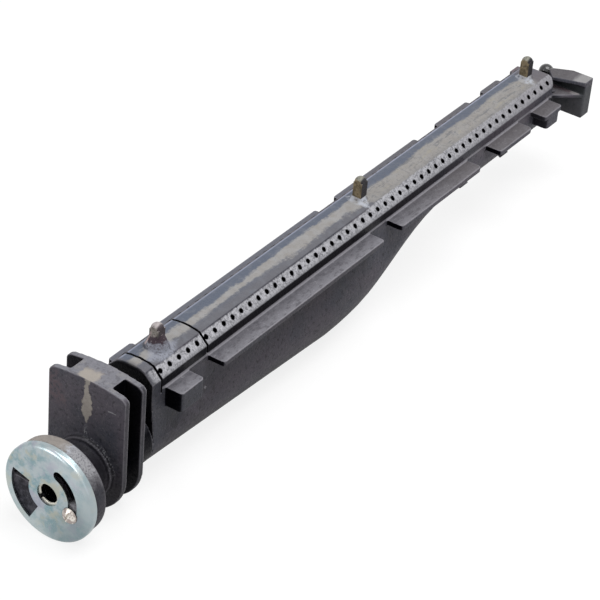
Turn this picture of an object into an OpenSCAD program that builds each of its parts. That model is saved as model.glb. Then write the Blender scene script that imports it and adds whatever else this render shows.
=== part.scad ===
// Cast-iron broiler burner with a rotary air shutter.
// Millimetres. Y runs along the burner from the mixer face (y = 0) to the rear foot,
// X is across it and Z is up. The origin is the centre of the gas inlet in the mixer face.

/* [Inlet and mixer] */
// Bore in the mixer hub that the gas orifice enters
inlet_d = 12.2; // [8:0.1:13]
// Wall of the hub between the inlet bore and the air windows
hub_wall = 5.9; // [4:0.1:7]
// Outer diameter of the mixer disc
mixer_d = 62; // [58:1:70]
// Thickness of the mixer disc, from its face to its rear edge
mixer_depth = 13.5; // [11:0.5:17]
// Thickness of the spoked face of the mixer
face_t = 4.5; // [3:0.5:7]
// Depth of the spigot that the air shutter turns on
spigot_depth = 4.6; // [3:0.2:8]
// Width of each air window in the mixer face, in degrees
air_window_angle = 78; // [30:2:80]
// Length over which the bell narrows from the disc to the throat
bell_l = 14; // [9:0.5:14.5]
// Outer diameter of the neck between the bell and the front plate
neck_d = 33; // [31:0.5:36]
// Diameter of the collar where the neck meets the front plate
collar_d = 39; // [38:0.5:44]
// Outer diameter of the throat tube
throat_d = 38; // [34:1:44]
// Bore of the throat at its narrowest
throat_bore = 27; // [18:1:32]

/* [Air shutter] */
// Thickness of the shutter sheet
sheet_t = 1.2; // [0.8:0.1:2]
// Running gap between the shutter and what it turns on
shutter_gap = 0.3; // [0.2:0.05:0.6]
// Depth of the shutter cup from its face to the edge of its rim
rim_depth = 5.2; // [4:0.2:8]
// Outside radius of the bend between the face and the rim
rim_bend_r = 2.6; // [2:0.1:3.5]
// Travel of the shutter, in degrees
shutter_travel = 88; // [40:2:110]
// Diameter of the hole of the shutter over the inlet
shutter_hole_d = 14.6; // [13.4:0.2:16]
// Width of the arc slot
slot_w = 6.4; // [5.8:0.1:7]
// Inner radius of the shutter window
window_r_in = 13.5; // [12.5:0.5:16]
// Outer radius of the shutter window
window_r_out = 26; // [20:0.5:27]
// Width of the shutter window, in degrees
window_angle = 77.5; // [30:0.5:90]
// Angle at which the shutter window starts, anticlockwise from the right
window_from = 163.5; // [130:0.5:170]

/* [Lock screw] */
// Shank diameter of the lock screw
screw_d = 4.8; // [4:0.1:5]
// Head diameter of the lock screw
head_d = 10.4; // [8:0.2:11]
// Height of the domed screw head
head_h = 3; // [2:0.2:4]
// Distance of the screw from the inlet axis
screw_orbit = 17.6; // [17:0.2:18.4]
// How far the middle of the arc slot lies outside the screw's circle
slot_out = 0.5; // [0:0.1:0.6]
// Length of the shank under the head
screw_l = 13; // [10:1:20]

/* [Flanges and mounting slot] */
// Width of both flange plates
flange_w = 55; // [50:1:70]
// Thickness of each flange plate
flange_t = 3.9; // [3:0.1:6]
// Free width of the mounting slot between the plates
slot_gap = 11.3; // [8:0.1:16]
// Height of the crest of the plates above the inlet axis
flange_crest = 59.3; // [52:0.1:70]
// Drop from the crest to the top corners of the plates
flange_crown = 2.8; // [1:0.1:5]
// How far the centre of the round bottom lies below the inlet axis
flange_drop = 2.4; // [0:0.2:12]
// How far both plates and the web lie to the right of the inlet axis
flange_shift = -1.8; // [-3:0.1:3]
// Radius of the top corners of the plates
flange_corner_r = 3; // [1:0.5:6]
// Width of the web between the plates
web_w = 30; // [20:1:40]

/* [Body] */
// Distance from the mixer face to the front of the front plate
mixer_reach = 34.4; // [32:0.2:45]
// Distance from the mixer face to the front wall of the burner body
body_front = 71.5; // [66:0.5:78]
// Length of the body and its crown
body_l = 470.5; // [400:0.5:540]
// Wall thickness of the casting
wall = 4; // [3:0.25:5]
// Outer radius of the round belly at the deep end of the diffuser
belly_r = 26; // [24:0.5:28]
// Distance from the mixer face to the deep end of the diffuser
diffuser_end = 250; // [200:5:270]
// Length over which the belly narrows behind the diffuser
taper_l = 127; // [90:1:140]
// Outer radius of the belly behind the step up
tail_r = 17; // [16.8:0.1:20]
// Height of the belly centre behind the step up
tail_rise = 24.4; // [18:0.2:26]
// Where the belly starts to rise
rise_start = 285; // [265:5:300]
// Length over which the belly rises
rise_l = 125; // [90:5:150]

/* [Crown and ports] */
// Width of the crown
crown_w = 33; // [32:0.2:38]
// Height of the crest of the crown above the inlet axis
crown_top = 50; // [48:0.2:54]
// Height of the joint plane between body and crown
crown_base = 29; // [27.5:0.5:29.5]
// Width of the arched top between the two drilled strips
crest_w = 19.6; // [16:0.2:22]
// Drop from the crest to the upper edge of a drilled strip
crest_drop = 1.1; // [0.6:0.1:2]
// Drop from the crest to the lower edge of a drilled strip
strip_drop = 7.7; // [5:0.1:8]
// Spacing of the ports
port_pitch = 8.83; // [6:0.01:8.9]
// Diameter of each port
port_d = 2.8; // [1.6:0.1:3.4]
// Distance from the mixer face to the first port
port_start = 82.7; // [82.4:0.1:84]
// Radius of the rear corners of body and crown, seen from above
end_corner_r = 8; // [3:0.5:10]
// Width of the saw cuts that carry the flame across the crown
cut_w = 1.6; // [0.8:0.1:2]
// Distance from a saw cut to the port behind it
cut_lead = 2.35; // [2:0.05:5]
// Height of the bottom of the front saw cut; the other stops above the rests
cut_floor = 32.2; // [30:0.2:36]

/* [Rests] */
// Reach of the right-hand rests from the middle of the burner
rest_reach = 28.8; // [24:0.2:30]
// Reach of the left-hand rests from the middle of the burner
left_reach = 25.8; // [24:0.2:30]
// Height of the top of the side rests
rest_top = 35.2; // [33:0.1:38]
// Thickness of the side rests
rest_t = 3.6; // [2:0.1:4]
// Radius of the free corners of the rests
rest_corner_r = 2.4; // [1:0.2:4]
// Depth of the front rest block
front_block_h = 13.2; // [8:0.2:15]
// Depth of the lug under the rear rest
rear_lug_h = 11.6; // [8:0.2:16]

/* [Radiant pegs] */
// Side of the square peg
peg_w = 6.6; // [5:0.2:8]
// Height of a peg above its boss
peg_h = 14; // [8:0.5:20]
// Diameter of the peg shank driven into the crown
peg_shank_d = 4; // [3:0.2:5]
// Height of the flared boss under each peg
peg_boss_h = 2; // [1:0.2:3]
// Height of the cone that stiffens the front peg
peg_cone_h = 7; // [3:0.5:9]
// Distance from the mixer face to the first peg
peg_start = 96; // [90:1:110]
// Distance from the last peg to the rear wall of the body
peg_end_gap = 19; // [16:0.5:40]

/* [Rear foot] */
// Reach of the foot to the right of the burner
foot_reach = 35; // [30:1:45]
// Reach of the short left arm of the foot
foot_left = 26; // [20:0.5:32]
// Distance from the rear wall of the body to the foot plate
foot_gap = 8; // [5:0.5:14]
// Thickness of the foot along the burner
foot_t = 11.5; // [8:0.5:16]
// Thickness of the lip and of the web on the foot
foot_lip = 3; // [2:0.5:5]
// Height of the underside of the foot
foot_under = 18; // [10:0.5:22]
// Height of the left arm of the foot
foot_arm = 33.5; // [28:0.5:36]
// Height of the top of the web beside the crown
foot_step = 37; // [32:0.5:40]
// Height of the top of the foot plate
foot_top = 46.5; // [42:0.5:50]
// Diameter of the round post on the foot
post_d = 11; // [8:0.5:12]

/* [Hidden] */

// Lengths along the burner
plate2 = mixer_reach + flange_t + slot_gap;
body_end = body_front + body_l;
foot_front = body_end + foot_gap;
foot_back = foot_front + foot_t;
peg_pitch = (body_end - peg_end_gap - peg_start) / 2;
port_n = 1 + floor((body_end - end_corner_r - port_d / 3 - port_start) / port_pitch);
port_cuts = [[port_start - cut_lead, cut_floor],
    [port_start + 5 * port_pitch - cut_lead, rest_top + 1]];

// Radii and heights
spigot_r = mixer_d / 2 - 0.75;
bell_start = mixer_depth - 2;
shutter_r = spigot_r + shutter_gap + sheet_t;
throat_r = throat_d / 2;
crown_half = crown_w / 2;
crest_half = crest_w / 2;
strip_top = crown_top - crest_drop;
strip_low = crown_top - strip_drop;
strip_tilt = atan2(strip_top - strip_low, crown_half - crest_half);
strip_mid = [(crown_half + crest_half) / 2, (strip_top + strip_low) / 2];
port_wall = 3.5;
head_seat = -shutter_gap - sheet_t - shutter_gap;
hub_r = inlet_d / 2 + hub_wall;
notch_r = 1.1;
notch_angle = 218;
cone_r = peg_w * 1.08;
screw_boss_h = 6;
screw_fit = 0.05;
screw_angle = -22;
slot_spare = 3;

// Front and rear of each rest in parts of the body's length, the same on both sides
rest_shares = [[0.0255, 0.0723], [0.1133, 0.4835], [0.5271, 0.7386], [0.7928, 0.8842],
    [0.9235, 0.9745]];
rests_y = [for (p = rest_shares) [body_front + p[0] * body_l, body_front + p[1] * body_l]];
rear_lug_y = rests_y[len(rests_y) - 1] + [4, -3];

// Round pads low on the right of the belly
pads_y = [body_end - 119, body_end - 65];
pad_tilt = 128;
pad_h = 2.2;
pad_r = 3.6;

iron = [0.25, 0.24, 0.26];
iron_light = [0.45, 0.45, 0.48];
zinc = [0.72, 0.79, 0.80];
nickel = [0.80, 0.77, 0.70];
peg_tan = [0.52, 0.46, 0.34];

e = 0.01;

// Points of an arc, from angle a0 to a1 in n steps
function arc(cx, cz, r, a0, a1, n) = [for (i = [0:n])
    let (a = a0 + (a1 - a0) * i / n) [cx + r * cos(a), cz + r * sin(a)]];

// A curve that goes from 0 to 1 with level ends
function ease(t) = let (u = min(1, max(0, t))) u * u * (3 - 2 * u);

// Extrudes a drawing in X and Z along Y, from y0 to y1
module along(y0, y1) {
    translate([0, y1, 0]) rotate([90, 0, 0]) linear_extrude(y1 - y0) children();
}

// Extrudes a drawing in Y and Z across X, from x0 to x1
module across(x0, x1) {
    translate([x0, 0, 0]) rotate([90, 0, 90]) linear_extrude(x1 - x0) children();
}

// Turns a profile of radius and Y about the inlet axis
module turned(points) {
    rotate([-90, 0, 0]) rotate_extrude($fn = 96) polygon(points);
}

// A round bar along Y
module bar(r, y0, y1, r2 = -1) {
    translate([0, y0, 0]) rotate([-90, 0, 0])
        cylinder(h = y1 - y0, r1 = r, r2 = r2 < 0 ? r : r2, $fn = 96);
}

// A ring sector between two radii and two angles, seen from the front
module sector(r0, r1, a0, a1) {
    polygon(concat(arc(0, 0, r1, a0, a1, 24), arc(0, 0, r0, a1, a0, 16)));
}

// An arc slot of width w on radius r, with round ends
module arc_slot(r, w, a0, a1) {
    polygon(concat(
        arc(0, 0, r + w / 2, a0, a1, 32),
        arc(r * cos(a1), r * sin(a1), w / 2, a1, a1 + 180, 10),
        arc(0, 0, r - w / 2, a1, a0, 28),
        arc(r * cos(a0), r * sin(a0), w / 2, a0 + 180, a0 + 360, 10)));
}

// Tombstone outline shared by both flange plates
module flange_outline() {
    half = flange_w / 2;
    corner_z = flange_crest - flange_crown;
    arch_r = (half * half + flange_crown * flange_crown) / (2 * flange_crown);
    lean = asin((half - flange_corner_r) / arch_r);
    c = flange_corner_r;
    top = arc(0, flange_crest - arch_r, arch_r, 90 - lean, 90 + lean, 16);
    polygon(concat(
        arc(half - c, corner_z - c, c, 0, 70, 6),
        top,
        arc(c - half, corner_z - c, c, 110, 180, 6),
        arc(0, -flange_drop, half, 180, 360, 40)));
}

// Outer radius of the belly at y
function belly(y) = y < diffuser_end
    ? throat_r + (belly_r - throat_r) * (y - body_front) / (diffuser_end - body_front)
    : belly_r + (tail_r - belly_r) * ease((y - diffuser_end) / taper_l);

// Height of the belly centre at y
function belly_z(y) = tail_rise * ease((y - rise_start) / rise_l);

// Radius of the mixer's bell at y, from r0 at the disc to r1 at the throat
function bell(y, r0, r1) = r1 + (r0 - r1) * (1 - ease((y - bell_start) / bell_l));

// Section of the body at y, drawn in by inset: a round belly with sides that run up to the crown
function body_ring(y, inset, top) =
    let (
        r = belly(y) - inset,
        c = belly_z(y),
        tw = crown_half - inset,
        d = norm([tw, crown_base - c]),
        a = atan2(crown_base - c, tw) - acos(min(1, r / d))
    )
    [for (p = concat([[tw, top]], arc(0, c, r, a, -180 - a, 26), [[-tw, top]])) [p[0], y, p[1]]];

// A closed skin over rings of points
module skin(rings) {
    m = len(rings[0]);
    n = len(rings);
    sides = [for (i = [0:n - 2]) for (j = [0:m - 1]) let (k = (j + 1) % m)
        each [[i * m + j, (i + 1) * m + j, i * m + k], [i * m + k, (i + 1) * m + j, (i + 1) * m + k]]];
    front = [[for (j = [0:m - 1]) j]];
    back = [[for (j = [m - 1:-1:0]) (n - 1) * m + j]];
    polyhedron(points = [for (r = rings) each r], faces = concat(sides, front, back));
}

// Stations for the skins of the body, close together where it steps up
function stations(y0, y1) = concat([y0, (y0 + diffuser_end) / 2],
    [for (i = [0:13]) diffuser_end + (rise_start + rise_l - diffuser_end) * i / 13], [y1]);

// Outer skin of the body, with its rear end rounded in plan
module body_skin() {
    r = end_corner_r;
    skin(concat(
        [for (y = stations(body_front, body_end - r)) body_ring(y, 0, crown_base)],
        [for (a = [15:15:90]) body_ring(body_end - r + r * sin(a), r * (1 - cos(a)), crown_base)]));
}

// Arched outline of the crown with its two chamfered strips
module crown_outline() {
    arch_r = (crest_half * crest_half + crest_drop * crest_drop) / (2 * crest_drop);
    lean = asin(crest_half / arch_r);
    polygon(concat(
        [[crown_half, crown_base], [crown_half, strip_low]],
        arc(0, crown_top - arch_r, arch_r, 90 - lean, 90 + lean, 12),
        [[-crown_half, strip_low], [-crown_half, crown_base]]));
}

// Hollow inside the crown, one wall in from its outline
module crown_hollow() {
    shift = [-port_wall * sin(strip_tilt), -port_wall * cos(strip_tilt)];
    side = crown_half - wall;
    roof = crown_top - wall;
    slope = tan(strip_tilt);
    side_z = strip_low + shift[1] + (crown_half + shift[0] - side) * slope;
    roof_x = side - (roof - side_z) / slope;
    polygon([[side, crown_base - 1], [side, side_z], [roof_x, roof], [-roof_x, roof],
        [-side, side_z], [-side, crown_base - 1]]);
}

// Side view of the crown, rounded down at both ends
module crown_side() {
    r1 = 2.5;
    r2 = 6;
    polygon(concat(
        [[body_front, crown_base]],
        arc(body_front + r1, crown_top - r1, r1, 180, 90, 8),
        arc(body_end - r2, crown_top - r2, r2, 90, 0, 10),
        [[body_end, crown_base]]));
}

// Plan of the crown, with round rear corners
module crown_plan() {
    r = end_corner_r;
    polygon(concat(
        [[-crown_half, body_front], [crown_half, body_front]],
        arc(crown_half - r, body_end - r, r, 0, 90, 10),
        arc(r - crown_half, body_end - r, r, 90, 180, 10)));
}

// Places children at port i of the row on side s, pointing out of the strip
module at_port(i, s) {
    translate([s * strip_mid[0], port_start + i * port_pitch, strip_mid[1]])
        rotate([0, s * strip_tilt, 0]) children();
}

module mixer_head() {
    r = mixer_d / 2;
    bore_r = throat_bore / 2;
    window_out = spigot_r - wall;
    bell_end = bell_start + bell_l;
    steps = 12;
    color(iron) difference() {
        union() {
            difference() {
                turned(concat(
                    [[0, 0], [spigot_r - 1.2, 0], [spigot_r, 1.2], [spigot_r, spigot_depth],
                        [r - 0.8, spigot_depth], [r, spigot_depth + 0.8]],
                    [for (i = [0:steps]) let (y = bell_start + bell_l * i / steps)
                        [bell(y, r, neck_d / 2), y]],
                    [[neck_d / 2, mixer_reach - 3.4], [collar_d / 2 - 0.8, mixer_reach - 3.4],
                        [collar_d / 2, mixer_reach - 2.6], [collar_d / 2, mixer_reach],
                        [0, mixer_reach]]));
                turned(concat(
                    [[0, face_t], [window_out, face_t]],
                    [for (i = [0:steps]) let (y = bell_start + bell_l * i / steps)
                        [bell(y, window_out, bore_r), y]],
                    [[bore_r, mixer_reach + 1], [0, mixer_reach + 1]]));
            }
            at_screw() bar(screw_d, 1, face_t + screw_boss_h);
        }
        bar(inlet_d / 2, -1, face_t + 1);
        // Small notch in the rim of the bore
        translate([cos(notch_angle), 0, sin(notch_angle)] * (inlet_d / 2 + notch_r / 2))
            bar(notch_r, -1, 2);
        for (a = [98, 82 - air_window_angle])
            along(-1, face_t + 1) sector(hub_r, window_out - 0.6, a, a + air_window_angle);
        at_screw() bar(screw_d / 2 + screw_fit, -1, face_t + screw_boss_h + 1);
    }
}

// Moves children to the lock screw's axis
module at_screw() {
    translate([screw_orbit * cos(screw_angle), 0, screw_orbit * sin(screw_angle)]) children();
}

module throat() {
    color(iron) difference() {
        bar(throat_r, mixer_reach, body_front);
        bar(throat_bore / 2, mixer_reach - 1, body_front + 1, throat_r - wall);
    }
}

module flange(y) {
    color(iron) along(y, y + flange_t) difference() {
        translate([flange_shift, 0]) flange_outline();
        circle(r = throat_r, $fn = 96);
    }
}

module front_flange() {
    flange(mixer_reach);
}

module rear_flange() {
    flange(plate2);
}

module slot_web() {
    color(iron_light) along(mixer_reach + flange_t, plate2) difference() {
        translate([flange_shift, 0]) intersection() {
            flange_outline();
            translate([-web_w / 2, 0]) square([web_w, flange_crest + 1]);
        }
        circle(r = throat_r, $fn = 96);
    }
}

module burner_body() {
    color(iron) difference() {
        union() {
            body_skin();
            for (s = [-1, 1]) lug(s, rests_y[0], front_block_h);
            for (s = [-1, 1]) lug(s, rear_lug_y, rear_lug_h);
            for (y = pads_y) translate([0, y, belly_z(y)]) rotate([0, pad_tilt, 0])
                cylinder(h = belly(y) + pad_h, r = pad_r, $fn = 32);
        }
        skin([for (y = stations(body_front + wall, body_end - wall))
            body_ring(y, wall, crown_base + 1)]);
        bar(throat_r - wall, body_front - 1, body_front + wall + 1);
    }
}

module port_crown() {
    boss = [for (i = [0:2]) peg_start + i * peg_pitch];
    color(iron_light) difference() {
        union() {
            intersection() {
                along(body_front, body_end) crown_outline();
                across(-crown_half - 1, crown_half + 1) crown_side();
                linear_extrude(crown_top + 1) crown_plan();
            }
            for (y = boss) translate([0, y, crown_top - 0.6])
                cylinder(h = peg_boss_h + 0.6, r1 = peg_w * 0.95, r2 = peg_w * 0.66, $fn = 48);
            translate([0, peg_start, crown_top - 0.6])
                cylinder(h = peg_boss_h + 0.6, r1 = cone_r + 1.2, r2 = cone_r, $fn = 64);
        }
        along(body_front + wall, body_end - wall) crown_hollow();
        for (s = [-1, 1]) for (i = [0:port_n - 1]) at_port(i, s)
            translate([0, 0, -port_wall - 2]) cylinder(h = port_wall + 4, d = port_d, $fn = 24);
        for (cut = port_cuts) translate([-crown_half - 1, cut[0] - cut_w / 2, cut[1]])
            cube([crown_w + 2, cut_w, crown_top]);
        for (y = boss) translate([0, y, crown_top - wall - 1])
            cylinder(h = wall + peg_boss_h + 2, d = peg_shank_d + 2 * screw_fit, $fn = 48);
    }
}

// A rest on side s that spans y, a pair of places, with its top at rest_top and h its depth
module rest(s, y, h, inner = crown_half) {
    c = rest_corner_r;
    edge = (s > 0 ? rest_reach : left_reach) - c;
    outline = concat([[inner, y[0]]], arc(edge, y[0] + c, c, -90, 0, 6),
        arc(edge, y[1] - c, c, 0, 90, 6), [[inner, y[1]]]);
    translate([0, 0, rest_top - h]) linear_extrude(h)
        polygon([for (p = outline) [s * p[0], p[1]]]);
}

// The lug of depth h that carries rest y on side s, up to the top of the belly
module lug(s, y, h) {
    translate([0, 0, crown_base - rest_top])
        rest(s, y, crown_base - rest_top + h, crest_half);
}

module rests(s) {
    color(iron_light) union() {
        for (y = rests_y) rest(s, y, rest_t);
        rest(s, rests_y[0], rest_top - crown_base);
        rest(s, rear_lug_y, rest_top - crown_base);
    }
}

module right_rests() {
    rests(1);
}

module left_rests() {
    rests(-1);
}

module rear_foot() {
    post_r = post_d / 2;
    lip_x = crown_half - 4.8;
    post_y = foot_front + foot_t / 2;
    color(iron) union() {
        // Foot plate, with its short left arm
        translate([-foot_left, foot_front, foot_under])
            cube([foot_left + foot_reach, foot_t, foot_arm - foot_under]);
        translate([-post_r, foot_front, foot_under])
            cube([post_r + foot_reach, foot_t, foot_step - foot_under]);
        // Neck between the rear wall of the body and the plate
        translate([-post_d, body_end, foot_under])
            cube([2 * post_d, foot_gap, foot_arm - foot_under]);
        // Web beside the crown
        translate([0, 0, foot_step - foot_lip]) linear_extrude(foot_lip) polygon([
            [crown_half, foot_front - 2 * foot_gap], [foot_reach, foot_front + 1],
            [0, foot_front + 1], [0, body_end], [crown_half, body_end]]);
        // Upper plate and the lip that overhangs its front
        translate([0, 0, foot_step - 1]) linear_extrude(foot_top - foot_step + 1) polygon([
            [post_r - 1, foot_front + 1], [lip_x, foot_front], [foot_reach, foot_front],
            [foot_reach, foot_back], [lip_x + 7, foot_back], [post_r - 1, foot_front + 4]]);
        translate([0, 0, foot_top - foot_lip]) linear_extrude(foot_lip) polygon([
            [lip_x, body_end + 0.5], [foot_reach - 1, foot_front], [foot_reach - 1, foot_front + 1],
            [post_r - 1, foot_front + 1]]);
        // Round post on the middle of the plate
        translate([0, post_y, foot_step - 1])
            cylinder(h = foot_top - foot_step + 1 - post_r, d = post_d, $fn = 64);
        translate([0, post_y, foot_top - post_r]) sphere(d = post_d, $fn = 64);
    }
}

module air_shutter() {
    face = -shutter_gap - sheet_t;
    back = -shutter_gap;
    b = rim_bend_r;
    t = sheet_t;
    r = shutter_r;
    cup = concat([[0, face]], arc(r - b, face + b, b, -90, 0, 10), [[r, face + rim_depth]],
        [[r - t, face + rim_depth]], arc(r - b, face + b, b - t, 0, -90, 8), [[0, back]]);
    color(zinc) difference() {
        turned(cup);
        bar(shutter_hole_d / 2, face - 1, back + 1);
        along(face - 1, back + 1) sector(window_r_in, window_r_out, window_from, window_from + window_angle);
        along(face - 1, back + 1)
            arc_slot(screw_orbit + slot_out, slot_w, screw_angle - slot_spare,
                screw_angle + shutter_travel);
    }
}

module shutter_screw() {
    dome_r = (head_d * head_d / 4 + head_h * head_h) / (2 * head_h);
    color(nickel) at_screw() difference() {
        union() {
            bar(screw_d / 2, head_seat - 1, head_seat + screw_l);
            intersection() {
                translate([0, head_seat - head_h + dome_r, 0]) sphere(r = dome_r, $fn = 64);
                bar(head_d / 2, head_seat - head_h - 1, head_seat);
            }
        }
        translate([0, head_seat - head_h, 0]) rotate([0, 105, 0])
            translate([-head_d, -1, -0.6]) cube([2 * head_d, 2.4, 1.2]);
    }
}

// A square peg with a rounded top on a round driven shank, stiffened by a cone of height cone_h
module peg(y, cone_h = 0) {
    seat = crown_top + peg_boss_h;
    color(peg_tan) translate([0, y, seat]) union() {
        if (cone_h > 0)
            cylinder(h = cone_h, r1 = cone_r, r2 = peg_w * 0.55, $fn = 64);
        intersection() {
            translate([-peg_w / 2, -peg_w / 2, 0]) cube([peg_w, peg_w, peg_h]);
            translate([0, 0, peg_h - peg_w * 0.62]) sphere(r = peg_w * 0.62, $fn = 64);
        }
        translate([-peg_w / 2, -peg_w / 2, 0]) cube([peg_w, peg_w, peg_h - peg_w * 0.5]);
        translate([0, 0, -wall - peg_boss_h + 1])
            cylinder(h = wall + peg_boss_h, d = peg_shank_d, $fn = 48);
    }
}

module peg_front() {
    peg(peg_start, peg_cone_h);
}

module peg_middle() {
    peg(peg_start + peg_pitch);
}

module peg_rear() {
    peg(peg_start + 2 * peg_pitch);
}

mixer_head();
throat();
front_flange();
slot_web();
rear_flange();
burner_body();
port_crown();
right_rests();
left_rests();
rear_foot();
air_shutter();
shutter_screw();
peg_front();
peg_middle();
peg_rear();
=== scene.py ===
# Broiler burner: cast-iron tube burner with a zinc-plated air shutter
import math

import bmesh
import bpy
from mathutils import Matrix, Vector


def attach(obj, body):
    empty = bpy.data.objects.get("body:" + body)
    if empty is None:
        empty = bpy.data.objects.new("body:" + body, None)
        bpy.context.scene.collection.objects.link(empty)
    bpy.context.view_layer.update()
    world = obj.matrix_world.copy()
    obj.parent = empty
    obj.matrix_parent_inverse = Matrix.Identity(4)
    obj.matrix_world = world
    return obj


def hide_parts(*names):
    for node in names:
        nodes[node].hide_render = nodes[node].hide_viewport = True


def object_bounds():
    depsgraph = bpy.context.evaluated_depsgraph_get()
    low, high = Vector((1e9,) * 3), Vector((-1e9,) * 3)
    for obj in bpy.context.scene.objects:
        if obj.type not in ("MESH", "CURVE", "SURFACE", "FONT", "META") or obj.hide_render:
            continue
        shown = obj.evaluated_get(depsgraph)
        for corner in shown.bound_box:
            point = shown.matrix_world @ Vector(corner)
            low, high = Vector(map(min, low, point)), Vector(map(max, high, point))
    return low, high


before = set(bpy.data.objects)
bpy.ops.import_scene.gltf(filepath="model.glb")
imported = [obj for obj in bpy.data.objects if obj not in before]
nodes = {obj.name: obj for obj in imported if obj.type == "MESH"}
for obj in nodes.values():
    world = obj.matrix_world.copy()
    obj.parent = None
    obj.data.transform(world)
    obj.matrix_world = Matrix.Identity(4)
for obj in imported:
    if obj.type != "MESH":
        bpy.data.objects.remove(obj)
cad_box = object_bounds()
MM = 0.001

# Sizes that the finish pieces share with the solids, in millimetres
PORT_COUNT = 52
PORT_PITCH = 8.83
PORT_FIRST = 82.7
PORT_DIAMETER = 2.8
PORT_CENTRE = (13.15, 45.6)
PORT_TILT = math.radians(44.57)
PORT_WALL = 3.5
SAW_CUTS = ((80.35, 32.2), (124.5, 36.2))
SAW_WIDTH = 1.6
CROWN_HALF = 16.5
CROWN_TOP = 50.0
PEG_PLACES = (96.0, 309.5, 523.0)
POST_Y = 555.75
NOTCH = (-5.2, -4.06)

# Regions of the casting under each of its two skins
INLET_NODES = ("mixer_head", "throat", "front_flange", "slot_web", "rear_flange")
TUBE_NODES = ("burner_body", "port_crown", "right_rests", "left_rests", "rear_foot")

# Voxel of the skins, and how far plugs, drills and blades go past what they fill or cut
SKIN_CELL = 0.65
PLUG_SPARE = 0.02
DRILL_PAST, DRILL_PROUD = 1.5, 2.0
BLADE_SPARE = 4.0

# Zones of the finish along the burner: where each starts, is full, begins to end and ends.
# A pair has one end only, and fades out when the first number is the greater.
RIM_RUN = (4.4, 4.8, 13.0, 14.0)
THROAT_RUN = (13.4, 14.0, 34.0, 34.6)
COLLAR_RUN = (30.0, 30.6, 35.0, 36.0)
FRONT_PLATE_RUN = (33.0, 34.0, 36.0, 37.5)
PLATES_RUN = (33.0, 34.0, 53.6, 54.2)
SLOT_RUN = (38.0, 38.6, 49.5, 50.1)
NECK_RUN = (53.4, 54.2, 70.0, 71.0)
NOSE_RUN = (70.0, 71.0, 75.0, 77.0)
CREST_START = (71.0, 76.0)
STRIP_RUN = (71.5, 77.0, 542.5, 543.5)
SHADED_RUN = (74.0, 90.0, 110.0, 150.0)
RESTS_RUN = (76.0, 78.0, 536.0, 540.0)
PORTS_RUN = (79.0, 80.0, 534.8, 535.5)
PLATES_END = (60.0, 56.0)
BODY_START = (80.0, 81.0)
REAR_HALF = (290.0, 325.0)
FOOT_START = (541.0, 543.0)
FOOT_SHELF = (545.0, 547.0)

# Zones of the finish by height, by distance from the middle plane and by radius about the inlet
TRAIL_LEVELS = (19.0, 20.0, 27.0, 29.0)
ROOT_LEVELS = (34.6, 34.9, 36.3, 36.8)
WALL_LEVELS = (36.4, 37.2, 41.6, 42.3)
RECESS_LEVELS = (36.8, 37.4, 43.2, 43.8)
STRIP_LEVEL = (41.9, 42.4)
PEG_FOOT_LEVEL = (46.0, 49.0)
CREST_LEVEL = (48.0, 48.5)
PLATE_TOP_LEVEL = (55.5, 57.0)
GRAZE_SIDES = (12.5, 14.0, 18.0, 19.5)
WALL_SIDES = (15.9, 16.2, 16.9, 17.2)
REST_EDGE = (27.6, 28.3, 29.5, 30.0)
CREST_HALF = (10.4, 9.8)
FACE_RADIUS = (12.0, 12.8)
COLLAR_RADII = (18.3, 18.9, 20.2, 20.6)
BORE_RADIUS = (6.7, 6.3)
BORE_RIM_RADIUS = (8.4, 8.0)
POST_RADIUS = (6.3, 5.7)

# Colours of the casting
BROWN_SKIN = (0.092, 0.081, 0.100)
BLUE_SKIN = (0.057, 0.058, 0.075)
LIGHT_SKIN = (0.105, 0.100, 0.110)
DUST = (0.19, 0.18, 0.20)
# Near black for sooted ports, dark specks and the black post, and for painted shade
SOOT_AND_SHADE = (0.0015, 0.0015, 0.003)
LEFT_TOP = (0.125, 0.132, 0.160)
SKIN_PIT = (0.060, 0.057, 0.066)
RUBBED_DARK = (0.115, 0.112, 0.128)
RUBBED = (0.215, 0.212, 0.235)
PLATE_TOP = (0.205, 0.206, 0.232)
# Bright edges and specks: wear, and painted highlight
BRIGHT_EDGE = (0.32, 0.31, 0.34)
CREST_BLUE = (0.100, 0.116, 0.155)
CREST_GREY = (0.125, 0.125, 0.142)
# Painted highlight on the crest's left edge
CREST_EDGE_HIGHLIGHT = (0.31, 0.33, 0.42)
CREST_LIGHT = (0.19, 0.20, 0.23)
TAN = (0.285, 0.270, 0.255)
PALE_TAN = (0.335, 0.330, 0.330)
TAN_RUN = (0.36, 0.325, 0.29)
# Pale grey of wear, also used for painted highlight and painted light
WORN_AND_HIGHLIGHT = (0.36, 0.36, 0.38)
SILVER = (0.45, 0.47, 0.52)
SCORCHED = (0.050, 0.034, 0.044)
GROUND_DARK = (0.17, 0.17, 0.185)
GROUND_LIGHT = (0.44, 0.44, 0.47)
GROUND_DULL = (0.27, 0.26, 0.28)
MACHINED = (0.80, 0.78, 0.70)
FIRED = (0.30, 0.315, 0.37)
FOOT_DARK = (0.036, 0.042, 0.042)
ROSE = (0.140, 0.105, 0.118)
TAIL = (0.150, 0.132, 0.142)
WARM_TOP = (0.118, 0.104, 0.101)
SMUDGE = (0.120, 0.125, 0.140)
STRAW = (0.33, 0.31, 0.255)
PINK = (0.125, 0.088, 0.100)
SEAM = (0.50, 0.38, 0.37)

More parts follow.
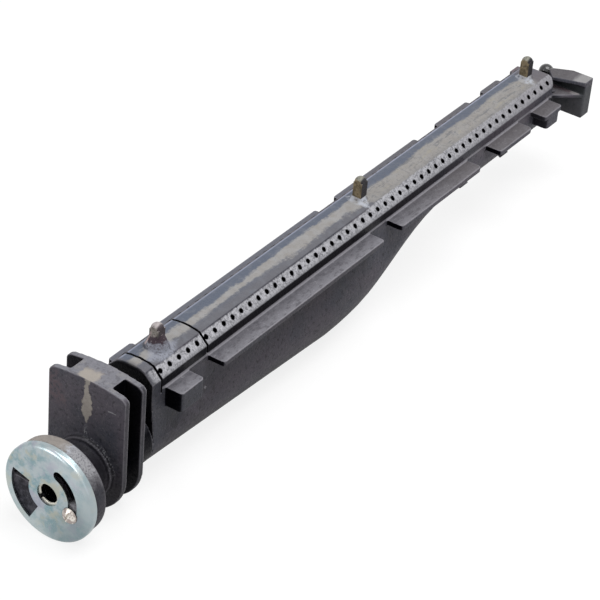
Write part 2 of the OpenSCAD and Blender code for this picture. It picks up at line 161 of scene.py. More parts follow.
# Colours of the shutter, the screw and the pegs
ZINC_DEEP = (0.215, 0.315, 0.345)
ZINC_PALE = (0.39, 0.445, 0.465)
ZINC_STRAW = (0.40, 0.40, 0.33)
ZINC_LILAC = (0.34, 0.33, 0.40)
ZINC_FLECK = (0.47, 0.49, 0.46)
# Painted shade and painted highlights of the shutter's face
ZINC_SHADE = (0.19, 0.235, 0.245)
ZINC_HIGHLIGHT_LOW_LEFT = (0.50, 0.56, 0.56)
ZINC_HIGHLIGHT_HIGH_RIGHT = (0.50, 0.56, 0.58)
NICKEL_DARK = (0.34, 0.29, 0.27)
NICKEL_BRIGHT = (0.72, 0.68, 0.62)
BRASSY_PEG = {
    "face": (0.26, 0.205, 0.125), "shade": (0.015, 0.015, 0.022), "cap": (0.24, 0.235, 0.20),
}
GREY_PEG = {
    "face": (0.34, 0.31, 0.28), "shade": (0.045, 0.034, 0.04), "cap": (0.42, 0.38, 0.38),
    "cone_foot": 52.0,
}

# Camera at the photograph's angle: degrees, millimetres and pixels
AZIMUTH, ELEVATION, ROLL = 31.647, 34.325, 5.212
CAMERA_DISTANCE = 1493.01
CAMERA_TARGET = Vector((0.0, 261.0, 30.0))
CAMERA_SHIFT = (-6.317, -28.96)
FOCAL_PIXELS = 2361.33
PICTURE_PIXELS = 600
SENSOR_WIDTH = 36.0

# Studio: soft lamps as name, place in metres, size and watts, and the light of floor and world
LAMPS = (
    ("key", (0.35, 0.45, 1.7), 1.2, 24.0),
    ("side", (1.5, -0.4, 0.7), 1.0, 1.0),
    ("front", (-0.7, -1.3, 0.9), 1.0, 8.5),
)
LAMP_TARGET = Vector((0.0, 0.26, 0.0))
FLOOR_SIZE = 6.0
FLOOR_BOUNCE, FLOOR_SEEN, FLOOR_GLOW = (0.55,) * 3, (0.22,) * 3, (0.82,) * 3
BLACK = (0.0, 0.0, 0.0)
WORLD_FILL = 0.35


def aim_camera():
    """The camera that was fitted to the photograph."""
    azimuth, elevation, roll = (math.radians(a) for a in (AZIMUTH, ELEVATION, ROLL))
    back = Vector((
        math.sin(azimuth) * math.cos(elevation),
        -math.cos(azimuth) * math.cos(elevation),
        math.sin(elevation),
    ))
    right = Vector((math.cos(azimuth), math.sin(azimuth), 0.0))
    up = back.cross(right)
    place = CAMERA_TARGET + back * CAMERA_DISTANCE + right * CAMERA_SHIFT[0] + up * CAMERA_SHIFT[1]
    across = math.cos(roll) * right + math.sin(roll) * up
    above = -math.sin(roll) * right + math.cos(roll) * up
    data = bpy.data.cameras.new("camera")
    data.sensor_fit = "HORIZONTAL"
    data.sensor_width = SENSOR_WIDTH
    data.lens = FOCAL_PIXELS / PICTURE_PIXELS * SENSOR_WIDTH
    data.clip_start, data.clip_end = 0.05, 20.0
    camera = bpy.data.objects.new("camera", data)
    camera.matrix_world = Matrix((
        (across.x, above.x, back.x, place.x * MM),
        (across.y, above.y, back.y, place.y * MM),
        (across.z, above.z, back.z, place.z * MM),
        (0.0, 0.0, 0.0, 1.0),
    ))
    bpy.context.scene.collection.objects.link(camera)
    bpy.context.scene.camera = camera


class Value:
    """A shader socket that takes part in Python arithmetic."""

    def __init__(self, paint, socket):
        self.paint = paint
        self.socket = socket

    def math(self, operation, *others):
        return self.paint.node("ShaderNodeMath", {"operation": operation}, self, *others)

    def __add__(self, other):
        return self.math("ADD", other)

    def __sub__(self, other):
        return self.math("SUBTRACT", other)

    def __mul__(self, other):
        return self.math("MULTIPLY", other)

    def __truediv__(self, other):
        return self.math("DIVIDE", other)

    def __rsub__(self, other):
        return self.paint.node("ShaderNodeMath", {"operation": "SUBTRACT"}, other, self)

    __radd__ = __add__
    __rmul__ = __mul__

    def clamp(self):
        return self.paint.node("ShaderNodeClamp", {}, self)

    def band(self, low, high):
        """0 below low, 1 above high, smooth between; the other way when low is greater."""
        return self.paint.node(
            "ShaderNodeMapRange", {"interpolation_type": "SMOOTHSTEP"}, self, low, high, 0.0, 1.0
        )

    def window(self, start, full, ending, end):
        """1 from full to ending, fading to 0 at start and at end."""
        return self.band(start, full) * self.band(end, ending)

    def off(self, place):
        """Distance from a place, on either side."""
        return (self - place).math("ABSOLUTE")


class Paint:
    """One node material, with the object's own millimetres as its coordinates."""

    def __init__(self, name, **settings):
        self.material = bpy.data.materials.new(name)
        self.material.use_nodes = True
        self.tree = self.material.node_tree
        self.tree.nodes.clear()
        self.shader = self.tree.nodes.new("ShaderNodeBsdfPrincipled")
        output = self.tree.nodes.new("ShaderNodeOutputMaterial")
        self.tree.links.new(self.shader.outputs[0], output.inputs["Surface"])
        coordinates = self.tree.nodes.new("ShaderNodeTexCoord")
        metres = Value(self, coordinates.outputs["Object"])
        self.place = self.node("ShaderNodeVectorMath", {"operation": "SCALE"}, metres, Scale=1 / MM)
        for socket, value in settings.items():
            self.set(socket.replace("_", " "), value)

    def node(self, kind, settings=None, *values, out=0, **named):
        made = self.tree.nodes.new(kind)
        for key, value in (settings or {}).items():
            setattr(made, key, value)
        sockets = [(made.inputs[i], v) for i, v in enumerate(values)]
        sockets += [(made.inputs[k.replace("_", " ")], v) for k, v in named.items()]
        for socket, value in sockets:
            self.feed(socket, value)
        return Value(self, made.outputs[out])

    def feed(self, socket, value):
        if isinstance(value, Value):
            self.tree.links.new(value.socket, socket)
        elif socket.type == "RGBA":
            socket.default_value = (*value, 1.0)
        else:
            socket.default_value = value

    def set(self, name, value):
        self.feed(self.shader.inputs[name], value)

    def axis(self, letter):
        split = self.tree.nodes.new("ShaderNodeSeparateXYZ")
        self.feed(split.inputs[0], self.place)
        return Value(self, split.outputs[letter])

    def facing(self, letter):
        geometry = self.tree.nodes.new("ShaderNodeNewGeometry")
        split = self.tree.nodes.new("ShaderNodeSeparateXYZ")
        self.tree.links.new(geometry.outputs["Normal"], split.inputs[0])
        return Value(self, split.outputs[letter])

    def edges(self):
        return self.node("ShaderNodeNewGeometry", {}, out="Pointiness")

    def noise(self, size, detail=3.0, rough=0.55, stretch=(1, 1, 1), shift=0.0):
        """Noise whose lumps are about size millimetres, drawn out along the axes in stretch."""
        scale = [1.0 / (size * s) for s in stretch]
        place = self.node("ShaderNodeMapping", {}, self.place, Scale=scale, Location=(shift,) * 3)
        return self.node("ShaderNodeTexNoise", {}, place, Scale=1.0, Detail=detail, Roughness=rough)

    def mix(self, mask, first, second):
        made = self.tree.nodes.new("ShaderNodeMix")
        made.data_type = "RGBA"
        self.feed(made.inputs["Factor"], mask)
        self.feed(made.inputs[6], first)
        self.feed(made.inputs[7], second)
        return Value(self, made.outputs[2])

    def bump(self, height, millimetres, before=None):
        made = self.tree.nodes.new("ShaderNodeBump")
        made.inputs["Strength"].default_value = 1.0
        made.inputs["Distance"].default_value = millimetres * MM
        self.feed(made.inputs["Height"], height)
        if before:
            self.feed(made.inputs["Normal"], before)
        return Value(self, made.outputs[0])


class Iron(Paint):
    """The casting's own paint, with the places, directions and noises that its finishes share.

    Each finish takes the colour so far and gives back its own. Some keep their masks, which
    later finishes and cast_iron use, so they are called in cast_iron's order.
    """

    def __init__(self):
        super().__init__("cast_iron", Specular_IOR_Level=0.25, Coat_Roughness=0.12)
        self.side, self.along, self.height = (self.axis(letter) for letter in "XYZ")
        self.across = self.side.math("ABSOLUTE")
        self.radius = (self.side * self.side + self.height * self.height).math("SQRT")
        self.upward, self.rearward = self.facing("Z"), self.facing("Y")
        self.tops = self.upward.band(0.8, 0.97)
        self.rear = self.along.band(*REAR_HALF)
        self.mottle = self.noise(7, detail=5, rough=0.65, shift=40.0)
        self.patch = self.noise(11, detail=3, rough=0.6, stretch=(0.7, 3.2, 1), shift=7.0)
        self.lumps = self.noise(2.6, detail=4, rough=0.7, shift=23.0)
        self.grain = self.noise(1.3, detail=3, rough=0.7)
        self.speckle = self.noise(1.0, detail=2, rough=0.65, shift=12.0)
        self.pits = self.noise(3.4, detail=5, rough=0.75, stretch=(0.8, 1.8, 1), shift=31.0)

    def bare_skin(self):
        """Iron as cast: brownish and bluish by turns, with pale specks and dark pits; painted shade
        low on the body's front and on right-facing sides, and darker towards the bottom of the
        plates.
        """
        along, height, mottle, lumps = self.along, self.height, self.mottle, self.lumps
        broad = self.noise(34, detail=4, stretch=(1, 1.8, 1))
        skin = self.mix(broad.band(0.38, 0.62), BROWN_SKIN, BLUE_SKIN)
        skin = self.mix(mottle.band(0.5, 0.75) * 0.6, skin, LIGHT_SKIN)
        dust = self.speckle.band(0.54, 0.70) * self.pits.band(0.35, 0.65)
        skin = self.mix(dust * 0.6, skin, DUST)
        blush = (self.side * -1.0 - height * 0.35 + mottle * 14.0).band(9.0, 14.0)
        blush = blush * along.band(36.0, 34.6) * height.band(30.0, 38.0) * lumps.band(0.4, 0.6)
        skin = self.mix(blush * 0.8, skin, PINK)
        skin = self.mix(lumps.band(0.5, 0.3) * 0.6, skin, SOOT_AND_SHADE)
        # Painted shade low on the front of the body
        shaded = along.window(*SHADED_RUN) * height.band(33.0, 20.0) * mottle.band(0.35, 0.6)
        skin = self.mix(shaded * 0.35, skin, SOOT_AND_SHADE)
        # Darker towards the bottom of the plates
        low_plate = along.window(*PLATES_RUN) * (height + mottle * 8.0).band(16.0, -8.0)
        skin = self.mix(low_plate * 0.65, skin, SOOT_AND_SHADE)
        # Painted shade on right-facing sides of the front half, stronger at the plates
        right_side_shade = self.facing("X").band(0.5, 0.9) * along.band(360.0, 250.0)
        return self.mix(right_side_shade * (along.band(60.0, 54.0) * 0.2 + 0.3), skin, SOOT_AND_SHADE)

    def rub_tops(self, skin):
        """Tops of flanges, rests and foot, paler towards their free edges, with painted highlight
        along the rests' outer edges and where the wall meets the rests.
        """
        across, along, height, pits = self.across, self.along, self.height, self.pits
        rubbed = self.mix(across.band(17.0, 29.0), RUBBED_DARK, RUBBED)
        rubbed = self.mix(height.band(45.0, 52.0) * along.band(*PLATES_END), rubbed, PLATE_TOP)
        pitted = pits.band(0.50, 0.62) * height.band(50.0, 46.0) * 0.6
        pitted = pitted + self.lumps.band(0.5, 0.62) * height.band(46.0, 50.0) * 0.45
        rubbed = self.mix(pitted, rubbed, SKIN_PIT)
        darker = along.band(300.0, 440.0) * across.band(28.2, 27.2)
        rubbed = self.mix(darker * 0.45, rubbed, SKIN_PIT)
        # Painted highlight along the rests' outer edges
        rubbed = self.mix(across.window(*REST_EDGE) * 0.35, rubbed, BRIGHT_EDGE)
        glints = pits.band(0.46, 0.36) * self.speckle.band(0.45, 0.6)
        rubbed = self.mix(glints * 0.6, rubbed, BRIGHT_EDGE)
        left = self.side.band(-15.0, -17.0) * along.band(*RESTS_RUN[:2])
        rubbed = self.mix(left * 0.8, rubbed, LEFT_TOP)
        rubbed = self.mix(along.band(300.0, 420.0) * 0.4, rubbed, WARM_TOP)
        skin = self.mix(self.tops * (self.mottle * 0.4 + 0.7), skin, rubbed)
        # Painted highlight: a bright line where the wall meets the rests
        root_highlight = across.band(17.9, 17.2) * height.window(*ROOT_LEVELS) * along.band(*BODY_START)
        return self.mix(root_highlight * 0.7, skin, BRIGHT_EDGE)

    def shade_recesses(self, skin):
        """Painted shade under the strips, on fronts of rests, about the plates, in the mixer and
        below, and painted light on the face behind the arc slot.
        """
        side, along, across, height = self.side, self.along, self.across, self.height
        upward, rearward, lumps = self.upward, self.rearward, self.lumps
        # Painted shade: the wall under the strip, fronts of rests, the foot's recess, the slot
        # between the plates, behind them, the nose, undersides, throat, bore and the mixer face
        # behind the window
        wall = across.window(*WALL_SIDES) * height.window(*WALL_LEVELS)
        wall = wall * along.band(*BODY_START) * along.band(520.0, 300.0) * 0.85
        fronts = rearward.band(-0.5, -0.8) * across.band(16.6, 17.2) * along.window(*RESTS_RUN)
        fronts = fronts * (1.0 - along.band(470.0, 515.0) * 0.2)
        recess = rearward.band(-0.3, -0.7) * height.window(*RECESS_LEVELS)
        recess = recess * along.band(*FOOT_START) * 0.75
        between = along.window(*SLOT_RUN) * upward.band(0.8, 0.6)
        behind = along.window(*NECK_RUN) * upward.band(0.75, 0.5) * 0.94
        nose = rearward.band(-0.3, -0.6) * along.window(*NOSE_RUN) * 0.96
        under = upward.band(-0.1, -0.5) * along.band(72.0, 74.0) * 0.75
        bore = self.radius.band(*BORE_RADIUS) * along.band(0.2, 0.6)
        throat = along.window(*THROAT_RUN) * 0.55
        inside = along.band(5.0, 4.7) * self.radius.band(*FACE_RADIUS)
        # Painted light: pale specks on the shaded face behind the arc slot
        painted_slot_light = inside * side.band(3.0, 6.0) * lumps.band(0.35, 0.55)
        inside = inside * (1.0 - side.band(2.0, 5.0))
        inside = inside * (0.7 - self.mottle.band(0.42, 0.6) * 0.55)
        self.shaded_fronts_and_slot = fronts.math("MAXIMUM", between)
        self.painted_shade = self.shaded_fronts_and_slot
        for mask in (wall, behind, nose, under, throat, inside, bore, recess):
            self.painted_shade = self.painted_shade.math("MAXIMUM", mask)
        skin = self.mix(self.painted_shade, skin, SOOT_AND_SHADE)
        return self.mix(painted_slot_light * 0.9, skin, WORN_AND_HIGHLIGHT)

    def sparkle(self, skin):
        """Bright specks round the collar, a speckled painted highlight on its upper right, and in a
        trail under the tan run.
        """
        # Painted highlight: specks on the collar's upper right
        ring = self.radius.window(*COLLAR_RADII) * self.side.band(-3.0, 1.0)
        ring = ring * self.height.band(-2.0, 8.0) * 0.4
        trail = (self.side + self.mottle * 3.0).off(-0.7).band(1.5, 0.8)
        trail = trail * self.height.window(*TRAIL_LEVELS) * 0.6
        specks = self.speckle.band(0.50, 0.60) * self.lumps.band(0.40, 0.55)
        specks = specks * self.along.window(*COLLAR_RUN)
        return self.mix(specks * ring.math("MAXIMUM", trail), skin, WORN_AND_HIGHLIGHT)

    def wear_and_highlight_edges(self, skin):
        """The dark foot with its rosy shelf, and bright edges all over, from wear and painted
        highlight.
        """
        along, upward = self.along, self.upward
        shelf = along.band(*FOOT_SHELF) * self.height.band(42.5, 41.5)
        skin = self.mix(shelf * (1.0 - self.tops) * 0.55, skin, FOOT_DARK)
        skin = self.mix(shelf * self.tops * 0.75, skin, ROSE)
        # Bright edges: wear and painted highlight, stronger on edges facing up and away from the
        # front
        edge_wear_and_highlight = self.edges().band(0.51, 0.555) * (self.lumps * 0.8 + 0.3)
        edge_wear_and_highlight = edge_wear_and_highlight * (1.0 - along.band(*FOOT_START) * 0.6) * (1.0 - self.shaded_fronts_and_slot)
        edge_wear_and_highlight = edge_wear_and_highlight * (self.rearward.band(-0.35, 0.1) * 0.5 + 0.5)
        edge_wear_and_highlight = edge_wear_and_highlight * (upward.band(-0.3, 0.25) * 0.9 + along.band(62.0, 56.0) * 0.5).clamp()
        return self.mix(edge_wear_and_highlight, skin, BRIGHT_EDGE)

    def stain_plates(self, skin):
        """Tan run down the front plate, a scratch beside it, and the stained top of the web."""
        side, along, height = self.side, self.along, self.height
        mottle, lumps = self.mottle, self.lumps
        width = (height.band(53.0, 40.0) * 2.4 + 1.4) * height.band(27.0, 39.0)
        ragged = self.patch * 7.0 + lumps * 3.0 + mottle * 4.0 - 7.0
        run = (ragged + width - side.off(-1.9)).band(-0.3, 0.5)
        run = run * along.window(*FRONT_PLATE_RUN) * height.band(28.0, 31.0)
        skin = self.mix(run * (lumps * 0.5 + 0.6), skin, TAN_RUN)
        graze = (height + lumps * 1.2).off(45.4).band(0.55, 0.3)
        graze = graze * side.window(*GRAZE_SIDES) * along.band(35.0, 34.7)
        skin = self.mix(graze * self.speckle.band(0.35, 0.5) * 0.7, skin, WORN_AND_HIGHLIGHT)
        web_top = height.band(*PLATE_TOP_LEVEL) * self.tops
        top_run = (mottle * 9.0 + lumps * 4.0 + 1.0 - side.off(-3.4)).band(0.5, 3.0)
        top_run = top_run * (along + mottle * 10.0 - 5.0).band(46.0, 42.0) * web_top
        skin = self.mix(top_run * 0.95, skin, TAN_RUN)
        return self.mix(mottle.band(0.52, 0.62) * web_top * 0.3, skin, TAN)

    def stain_rim(self, skin):
        """Rim of the mixer: tan stain, then a silver patch and a grey patch of wear that are partly
        painted highlight, then dark.
        """
        rim = self.along.window(*RIM_RUN) * self.height.band(2.0, 9.0)
        turn = self.side + self.mottle * 8.0 - 4.0
        skin = self.mix(rim * turn.band(9.0, 5.0) * (self.lumps * 0.8 + 0.3), skin, TAN_RUN)
        # Painted highlight over part of the rim's upper side, in silver and speckled grey
        silver_highlight_blotch = turn.window(0.0, 6.0, 8.0, 12.0) * self.lumps.band(0.35, 0.6)
        skin = self.mix(rim * silver_highlight_blotch, skin, SILVER)
        grey = turn.window(6.0, 10.0, 22.0, 29.0) * self.speckle.band(0.2, 0.6)
        return self.mix(rim * grey, skin, WORN_AND_HIGHLIGHT)

    def stain_crest(self, skin):
        """Blue-grey crest with painted highlight along its left edge, and a tan streak that spreads
        behind the middle peg.
        """
        side, along, rear = self.side, self.along, self.rear
        mottle, lumps = self.mottle, self.lumps
        crest = self.mix(side.band(-2.0, 8.0), CREST_BLUE, CREST_GREY)
        # Painted highlight along the crest's left edge
        left_edge_highlight = side.band(-8.2, -9.4) * (lumps * 0.6 + rear * 0.3 + 0.5)
        crest = self.mix(left_edge_highlight, crest, CREST_EDGE_HIGHLIGHT)
        crest = self.mix(mottle.band(0.45, 0.75) * 0.5, crest, CREST_LIGHT)
        reach = rear * 3.2 + 3.7 + self.patch * 12.0 + lumps * 5.0 - 8.5
        middle = (side - rear * 4.2).off(0.6)
        stain = (reach - middle).band(-1.4, 1.2) * along.band(528.0, 521.0)
        tan = self.mix(mottle.band(0.3, 0.7) * (1.0 - rear * 0.5), TAN, PALE_TAN)
        crest = self.mix(stain * 0.95, crest, tan)
        blue = mottle.band(0.58, 0.68) * lumps.band(0.45, 0.6) * (rear * 0.5 + 0.3)
        crest = self.mix(blue, crest, CREST_BLUE)
        grey = (lumps.band(0.5, 0.66) + side.band(5.5, 9.5) * 0.5).clamp()
        crest = self.mix(grey * rear * 0.4, crest, CREST_GREY)
        smudge = self.noise(4.5, detail=4, rough=0.7, stretch=(0.6, 4.0, 1.0), shift=90.0)
        dark = smudge.band(0.55, 0.64) * rear * side.band(-8.0, -7.0)
        crest = self.mix(dark * 0.6, crest, SMUDGE)
        crest = self.mix(smudge.band(0.44, 0.34) * stain * rear * 0.5, crest, STRAW)
        crest = self.mix(self.speckle.band(0.6, 0.75) * 0.3, crest, SOOT_AND_SHADE)
        tail = along.band(518.0, 527.0) * (lumps * 0.5 + 0.6)
        crest = self.mix(tail * 0.7, crest, TAIL)
        self.crown = self.height.band(*CREST_LEVEL) * self.across.band(*CREST_HALF)
        self.crown = self.crown * along.band(*CREST_START) * self.upward.band(0.5, 0.8)
        return self.mix(self.crown, skin, crest)

    def fire_peg_feet(self, colour):
        """Silvery runs at the rear pegs and the rough fired patch round the front one."""
        side, along, mottle, lumps = self.side, self.along, self.mottle, self.lumps
        level = self.height.band(*PEG_FOOT_LEVEL)
        for place in PEG_PLACES[1:]:
            near = along.off(place - 3.0) * 0.8 + side.off(1.5) * 0.5
            ring = (near + mottle * 7.0).band(9.5, 7.0) * level
            ring = ring * lumps.band(0.34, 0.54) * (side.off(1.0).band(0.5, 3.5) * 0.6 + 0.4)
            colour = self.mix(ring, colour, SILVER)
        near = along.off(PEG_PLACES[0] - 2.0) * 0.75 + side.off(5.5)
        fired = (near + mottle * 8.0).band(16.5, 12.0) * level * self.across.band(11.5, 10.5)
        fired = fired * (lumps * 0.5 + self.speckle * 0.5).band(0.34, 0.56)
        return self.mix(fired * 0.85, colour, FIRED)

    def grind_strip(self, colour):
        """The ground strip, duller at its low edge and to the rear, and its sooted ports."""
        along, lumps = self.along, self.lumps
        out, up = self.across - PORT_CENTRE[0], self.height - PORT_CENTRE[1]
        lean = (math.sin(PORT_TILT), math.cos(PORT_TILT))
        level = out * lean[0] + up * lean[1]
        drop = out * lean[1] - up * lean[0]
        zone = self.across.band(16.8, 16.6) * self.height.band(*STRIP_LEVEL)
        zone = zone * along.window(*STRIP_RUN)
        rough = (self.speckle * 0.45 + lumps * 0.55).band(0.38, 0.58)
        ground = self.mix(rough, GROUND_DARK, GROUND_LIGHT)
        ground = self.mix(along.band(380.0, 545.0) * 0.6, ground, GROUND_DULL)
        ground = self.mix(drop.band(1.6, 4.6) * 0.55, ground, GROUND_DARK)
        inner = self.side + self.rear * 0.9 + lumps
        self.strip = zone * level.band(-0.3, -0.12) * inner.band(10.9, 11.7)
        self.strip = self.strip * self.upward.band(0.3, 0.5)
        colour = self.mix(self.strip, colour, ground)
        turn = ((along - PORT_FIRST) / PORT_PITCH + 0.5).math("FRACT") - 0.5
        off_centre = ((turn * PORT_PITCH).math("POWER", 2.0) + drop * drop).math("SQRT")
        self.ports = zone * (off_centre + lumps).band(2.6, 2.0) * along.window(*PORTS_RUN)
        self.ports = self.ports * self.across.band(9.7, 10.1)
        return self.mix(self.ports, colour, SOOT_AND_SHADE)

    def shade_cuts(self, colour):
        """Painted shade on the walls of the two saw cuts."""
        for y, floor in SAW_CUTS:
            kerf = self.along.off(y).band(1.0, 0.8) * self.height.band(floor - 0.5, floor + 0.5)
            kerf = kerf * self.across.band(17.4, 16.8)
            kerf = kerf * self.rearward.math("ABSOLUTE").band(0.4, 0.7)
            colour = self.mix(kerf, colour, SOOT_AND_SHADE)
        return colour

    def finish_ends(self, colour):
        """Glossy black post, pale wear at the end of the foot, the machined rim of the inlet bore,
        and painted shade for the notch in that rim.
        """
        side, along, height = self.side, self.along, self.height
        from_post = (side * side + along.off(POST_Y).math("POWER", 2.0)).math("SQRT")
        self.post = from_post.band(*POST_RADIUS) * height.band(37.0, 38.0)
        colour = self.mix(self.post, colour, SOOT_AND_SHADE)
        worn_end = (side + self.mottle * 6.0).band(27.0, 30.0) * self.tops
        worn_end = worn_end * along.band(*FOOT_SHELF)
        colour = self.mix(worn_end * 0.7, colour, PALE_TAN)
        self.machined = self.radius.band(*BORE_RIM_RADIUS) * along.band(0.9, 0.5)
        colour = self.mix(self.machined, colour, MACHINED)
        # Painted shade: a dark spot for the notch at the bore's rim
        away = side.off(NOTCH[0]).math("POWER", 2.0) + height.off(NOTCH[1]).math("POWER", 2.0)
        return self.mix(away.band(2.2, 1.2) * along.band(3.0, 2.0), colour, SOOT_AND_SHADE)


def cast_iron():
    """Grey iron as cast: charcoal skin, rubbed tops, ground port strip, stains on the crest."""
    paint = Iron()
    colour = paint.bare_skin()
    for finish in (
        paint.rub_tops, paint.shade_recesses, paint.sparkle, paint.wear_and_highlight_edges, paint.stain_plates,
        paint.stain_rim, paint.stain_crest, paint.fire_peg_feet, paint.grind_strip,
        paint.shade_cuts, paint.finish_ends,
    ):
        colour = finish(colour)
    paint.set("Base Color", colour)
    bare = 1.0 - paint.strip.math("MINIMUM", 1.0 - paint.ports)
    # Metallic with a black colour where shade is painted and on the sooted ports, so these reflect
    # nothing
    soot_and_shade = paint.painted_shade.math("MAXIMUM", paint.ports) * bare * (1.0 - paint.crown)
    paint.set("Metallic", (paint.strip * 0.4 + paint.machined * 0.6 + soot_and_shade).clamp())
    paint.set("Roughness", paint.grain * 0.2 + 0.5 - paint.strip * 0.12 - paint.post * 0.38)
    paint.set("Coat Weight", paint.post)
    rough_skin = paint.bump(paint.lumps, 0.45)
    paint.set("Normal", paint.bump(paint.grain, 0.25, rough_skin))
    return paint.material


def zinc_plate():
    """Passivated zinc: pale cyan with straw and lilac clouds, painted shade to the lower right and
    painted highlight low on the left and high on the right.
    """
    paint = Paint("zinc_plate", Metallic=1.0)
    side, height = paint.axis("X"), paint.axis("Z")
    cloud = paint.noise(9, detail=5, rough=0.65)
    tint = paint.noise(13, detail=4, rough=0.6, shift=60.0)
    streak = paint.noise(2.2, detail=3, rough=0.7, shift=5.0)
    colour = paint.mix(cloud.band(0.40, 0.60), ZINC_DEEP, ZINC_PALE)
    colour = paint.mix(tint.band(0.52, 0.64) * 0.8, colour, ZINC_STRAW)
    colour = paint.mix(tint.band(0.47, 0.36) * 0.65, colour, ZINC_LILAC)
    colour = paint.mix(streak.band(0.55, 0.72) * 0.35, colour, ZINC_FLECK)
    # Painted shade to the lower right
    dark = (side * 0.9 - height * 0.5).band(4.0, 26.0)
    colour = paint.mix(dark * 0.65, colour, ZINC_SHADE)
    # Painted highlight low on the left
    highlight_low_left = (height * -0.8 - side * 0.8).band(12.0, 30.0)
    colour = paint.mix(highlight_low_left * 0.6, colour, ZINC_HIGHLIGHT_LOW_LEFT)
    # Painted highlight high on the right
    highlight_high_right = (height + side).band(12.0, 34.0)
    colour = paint.mix(highlight_high_right * 0.4, colour, ZINC_HIGHLIGHT_HIGH_RIGHT)
    paint.set("Base Color", colour)
    paint.set("Roughness", cloud * 0.2 + 0.2)
    paint.set("Normal", paint.bump(streak, 0.04))
    return paint.material


def nickel_plate():
    paint = Paint("nickel_plate", Metallic=1.0)
    cloud = paint.noise(2.5, detail=3)
    paint.set("Base Color", paint.mix(cloud.band(0.42, 0.58), NICKEL_DARK, NICKEL_BRIGHT))
    paint.set("Roughness", cloud * 0.25 + 0.18)
    return paint.material


def peg_metal(name, face, shade, cap, cone_foot=None):
    """A fired peg with painted shade on its right-hand face; a melted cone starts at cone_foot."""
    paint = Paint(name, Specular_IOR_Level=0.2)
    height = paint.axis("Z")
    cloud = paint.noise(3.5, detail=4, rough=0.65)
    fleck = paint.noise(1.1, detail=3, rough=0.7, shift=9.0)
    right = paint.facing("X").band(0.25, 0.6)
    colour = paint.mix(cloud.band(0.38, 0.58), [c * 0.45 for c in face], face)
    colour = paint.mix(paint.facing("Z").band(0.3, 0.8), colour, cap)
    # Painted shade on the right-hand face
    colour = paint.mix(right * 0.95, colour, shade)
    if cone_foot:
        level = height + cloud * 6.0 - cone_foot
        colour = paint.mix(level.band(11.0, 8.5), colour, SCORCHED)
        melted = level.band(6.5, 5.0) * (fleck.band(0.35, 0.6) * 0.6 + 0.25)
        colour = paint.mix(melted, colour, FIRED)
        left = paint.axis("X") + cloud * 2.0 + (cone_foot + 9.0 - height) * 0.3
        colour = paint.mix(left.band(-0.6, -1.2) * level.band(12.0, 10.0), colour, CREST_LIGHT)
        seam = left.off(-0.7).band(0.75, 0.4) * level.band(13.0, 11.0)
        colour = paint.mix(seam * 0.8, colour, SEAM)
    colour = paint.mix(fleck.band(0.58, 0.70) * 0.4, colour, cap)
    colour = paint.mix(fleck.band(0.44, 0.34) * cloud.band(0.4, 0.5) * 0.8, colour, shade)
    paint.set("Base Color", colour)
    paint.set("Metallic", cloud * 0.4)
    paint.set("Roughness", cloud * 0.3 + 0.35)
    paint.set("Normal", paint.bump(fleck, 0.25))
    return paint.material


def scratch(name, shape):
    """A mesh object made from a shape, in the scene but on no body."""
    mesh = bpy.data.meshes.new(name)
    shape.to_mesh(mesh)
    shape.free()
    made = bpy.data.objects.new(name, mesh)
    bpy.context.scene.collection.objects.link(made)
    return made


def apply(piece, kind, **settings):
    modifier = piece.modifiers.new(kind.lower(), kind)
    for key, value in settings.items():
        setattr(modifier, key, value)
    depsgraph = bpy.context.evaluated_depsgraph_get()
    made = bpy.data.meshes.new_from_object(piece.evaluated_get(depsgraph))
    piece.modifiers.clear()
    old, piece.data = piece.data, made
    bpy.data.meshes.remove(old)


def port_axes():
    """The frame of each port: its centre on the strip, with Z out of it."""
    for side in (1, -1):
        for i in range(PORT_COUNT):
            centre = Vector((side * PORT_CENTRE[0], PORT_FIRST + i * PORT_PITCH, PORT_CENTRE[1]))
            yield Matrix.Translation(centre * MM) @ Matrix.Rotation(side * PORT_TILT, 4, "Y")


def pins(name, radius, low, high, sides=24):
    """A pin at every port, from low to high millimetres along its axis."""
    shape = bmesh.new()
    middle, length = (low + high) / 2 * MM, (high - low) * MM
    for axes in port_axes():
        bmesh.ops.create_cone(
            shape, cap_ends=True, segments=sides, radius1=radius * MM, radius2=radius * MM,
            depth=length, matrix=axes @ Matrix.Translation((0, 0, middle)),
        )
    return scratch(name, shape)


def saw_blades():
    shape = bmesh.new()
    for y, floor in SAW_CUTS:
        depth = CROWN_TOP + BLADE_SPARE - floor
        size = Vector((2 * CROWN_HALF + BLADE_SPARE, SAW_WIDTH, depth)) * MM
        centre = Vector((0, y, floor)) * MM + Vector((0, 0, size.z / 2))
        bmesh.ops.create_cube(
            shape, size=1.0, matrix=Matrix.Translation(centre) @ Matrix.Diagonal((*size, 1.0))
        )
    return scratch("saw_blades", shape)


def join_meshes(name, parts):
    shape = bmesh.new()
    for part in parts:
        shape.from_mesh(part.data)
    return scratch(name, shape)


def drill_and_saw(piece):
    """Cuts the ports and the two saw kerfs through a finished skin."""
    drills = pins("drills", PORT_DIAMETER / 2, -PORT_WALL - DRILL_PAST, DRILL_PROUD)
    blades = saw_blades()
    for tool in (drills, blades):
        apply(piece, "BOOLEAN", operation="DIFFERENCE", object=tool, solver="MANIFOLD")
        bpy.data.objects.remove(tool)


def cast_skin(name, regions, plugs=()):
    """Cast regions fused into one skin whose edges are softened as a sand mould softens them."""
    piece = join_meshes(name, [nodes[n] for n in regions] + list(plugs))
    apply(piece, "REMESH", mode="VOXEL", voxel_size=SKIN_CELL * MM, use_smooth_shade=True)
    apply(piece, "SMOOTH", factor=0.5, iterations=1)
    return piece


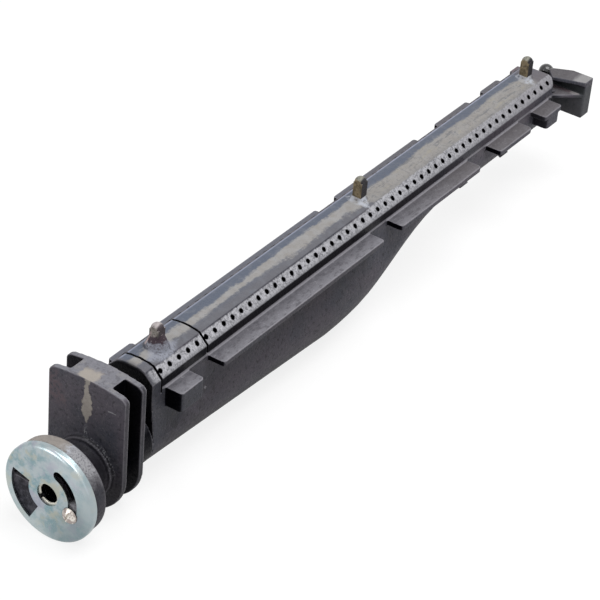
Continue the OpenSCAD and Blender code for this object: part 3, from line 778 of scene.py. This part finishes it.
def casting():
    """The inlet end and the burner tube, as the two skins of the one casting."""
    iron = cast_iron()
    inlet_end = cast_skin("inlet_end", INLET_NODES)
    plugs = pins("plugs", PORT_DIAMETER / 2 + PLUG_SPARE, -PORT_WALL, 0.0)
    tube = cast_skin("burner_tube", TUBE_NODES, [plugs])
    bpy.data.objects.remove(plugs)
    drill_and_saw(tube)
    for piece, regions in ((inlet_end, INLET_NODES), (tube, TUBE_NODES)):
        piece.data.materials.clear()
        piece.data.materials.append(iron)
        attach(piece, "casting")
        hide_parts(*regions)


def paint_nodes():
    brassy = peg_metal("fired_peg", **BRASSY_PEG)
    finishes = {
        "air_shutter": zinc_plate(),
        "shutter_screw": nickel_plate(),
        "peg_front": peg_metal("grey_peg", **GREY_PEG),
        "peg_middle": brassy,
        "peg_rear": brassy,
    }
    for name, material in finishes.items():
        nodes[name].data.materials.clear()
        nodes[name].data.materials.append(material)


def lay_floor():
    """A pale floor that the camera sees as white apart from the shadow."""
    shape = bmesh.new()
    bmesh.ops.create_grid(shape, x_segments=1, y_segments=1, size=FLOOR_SIZE)
    floor = scratch("floor", shape)
    floor.location.z = cad_box[0][2]
    paint = Paint("floor", Roughness=0.9, Specular_IOR_Level=0.0)
    rays = paint.tree.nodes.new("ShaderNodeLightPath")
    camera, glossy = (Value(paint, rays.outputs[n]) for n in ("Is Camera Ray", "Is Glossy Ray"))
    seen = camera.math("MAXIMUM", glossy)
    paint.set("Base Color", paint.mix(seen, FLOOR_BOUNCE, FLOOR_SEEN))
    paint.set("Emission Color", paint.mix(seen, BLACK, FLOOR_GLOW))
    paint.set("Emission Strength", 1.0)
    floor.data.materials.append(paint.material)


def hang_lamps():
    for name, place, size, power in LAMPS:
        data = bpy.data.lights.new(name, "AREA")
        data.size = size
        data.energy = power
        lamp = bpy.data.objects.new(name, data)
        lamp.location = place
        aim = LAMP_TARGET - Vector(place)
        lamp.rotation_euler = aim.to_track_quat("-Z", "Y").to_euler()
        bpy.context.scene.collection.objects.link(lamp)


def light_world():
    """White to the camera and to reflections, a dimmer fill for the rest."""
    world = bpy.data.worlds.new("world")
    bpy.context.scene.world = world
    world.use_nodes = True
    tree = world.node_tree
    rays = tree.nodes.new("ShaderNodeLightPath")
    white = tree.nodes.new("ShaderNodeMath")
    white.operation = "MAXIMUM"
    tree.links.new(rays.outputs["Is Camera Ray"], white.inputs[0])
    tree.links.new(rays.outputs["Is Glossy Ray"], white.inputs[1])
    level = tree.nodes.new("ShaderNodeMapRange")
    level.inputs["To Min"].default_value = WORLD_FILL
    tree.links.new(white.outputs[0], level.inputs["Value"])
    tree.nodes["Background"].inputs["Color"].default_value = (1, 1, 1, 1)
    tree.links.new(level.outputs["Result"], tree.nodes["Background"].inputs["Strength"])


aim_camera()
lay_floor()
hang_lamps()
light_world()
casting()
paint_nodes()
bpy.context.scene.view_settings.view_transform = "Standard"
